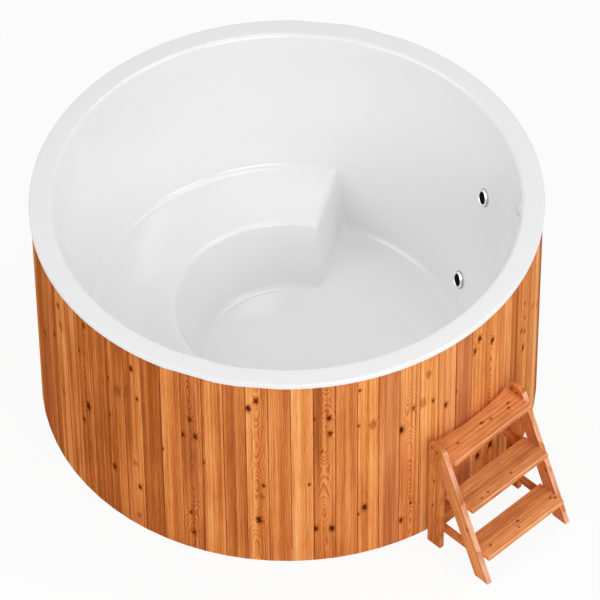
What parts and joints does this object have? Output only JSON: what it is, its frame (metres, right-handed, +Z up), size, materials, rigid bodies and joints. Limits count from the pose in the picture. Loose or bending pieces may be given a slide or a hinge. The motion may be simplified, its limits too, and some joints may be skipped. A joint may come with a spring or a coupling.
{
  "type": "cold plunge tub",
  "caption": "Round white moulded plunge tub with an inner bench in an upright-board timber drum, with wall ports, drain valve, overflow and a free-standing step ladder.",
  "frame": {"origin": "on the tub's axis at ground level, on the underside of the middle base joist", "axes": "+Z up along the tub's axis; the ladder stands at -Y; the drain valve comes out at +X"},
  "size_m": [2.1684, 2.3339, 1.016],
  "materials": {
    "white_gelcoat": "gloss",
    "cladding_wood": "satin",
    "ladder_wood": "satin",
    "plywood": "matte",
    "stud_wood": "matte",
    "treated_wood": "matte",
    "foam": "matte",
    "zinc_steel": "satin",
    "bright_chrome": "polished",
    "black_plastic": "satin",
    "grey_pipe": "satin",
    "black_rubber": "matte",
    "white_plastic": "gloss",
    "grey_hose": "satin",
    "stainless": "satin",
    "brass": "satin",
    "seat_plastic": "satin",
    "lever_red": "gloss"
  },
  "bodies": {
    "tub": {"liner": "white_gelcoat", "cladding_01": "cladding_wood", "cladding_02": "cladding_wood", "cladding_03": "cladding_wood", "cladding_04": "cladding_wood", "cladding_05": "cladding_wood", "cladding_06": "cladding_wood", "cladding_07": "cladding_wood", "cladding_08": "cladding_wood", "cladding_09": "cladding_wood", "cladding_10": "cladding_wood", "cladding_11": "cladding_wood", "cladding_12": "cladding_wood", "top_ring": "plywood", "middle_ring": "plywood", "bottom_ring": "plywood", "frame_studs": "stud_wood", "floor_deck": "plywood", "base_joists": "treated_wood", "floor_foam": "foam", "wall_foam": "foam", "bench_ribs": "plywood", "cladding_screws": "zinc_steel", "deck_screws": "zinc_steel", "upper_port_ring": "bright_chrome", "upper_port_body": "black_plastic", "upper_port_pipe": "grey_pipe", "lower_port_ring": "bright_chrome", "lower_port_body": "black_plastic", "lower_port_pipe": "grey_pipe", "port_gaskets": "black_rubber", "port_nuts": "black_plastic", "pipe_collars": "black_rubber", "overflow_cover": "white_plastic", "overflow_body": "white_plastic", "overflow_nut": "white_plastic", "overflow_hose": "grey_hose", "drain_body": "black_plastic", "drain_gasket": "black_rubber", "drain_nut": "black_plastic", "drain_pipe": "grey_pipe", "valve_body": "brass", "valve_seats": "seat_plastic", "valve_outlet": "brass"},
    "ladder": {"left_post": "ladder_wood", "right_post": "ladder_wood", "left_stringer": "ladder_wood", "right_stringer": "ladder_wood", "bottom_tread": "ladder_wood", "middle_tread": "ladder_wood", "top_tread": "ladder_wood", "tread_rails": "ladder_wood", "rear_cross_bar": "ladder_wood", "ladder_screws": "zinc_steel"},
    "drain_lever": {"valve_ball": "bright_chrome", "valve_stem": "stainless", "valve_lever": "lever_red", "valve_lever_nut": "stainless"},
    "strainer": {"drain_strainer": "stainless"}
  },
  "joints": [
    {"name": "ladder_pull", "type": "slide", "parent": "tub", "child": "ladder", "axis": [0, -1, 0], "range_m": [0, 0.6]},
    {"name": "drain_lever_turn", "type": "hinge", "parent": "tub", "child": "drain_lever", "pos_m": [1.06105, 0, 0.098], "axis": [0, 0, 1], "range_deg": [0, 90]},
    {"name": "strainer_lift", "type": "slide", "parent": "tub", "child": "strainer", "axis": [0, 0, 1], "range_m": [0, 0.12]}
  ]
}
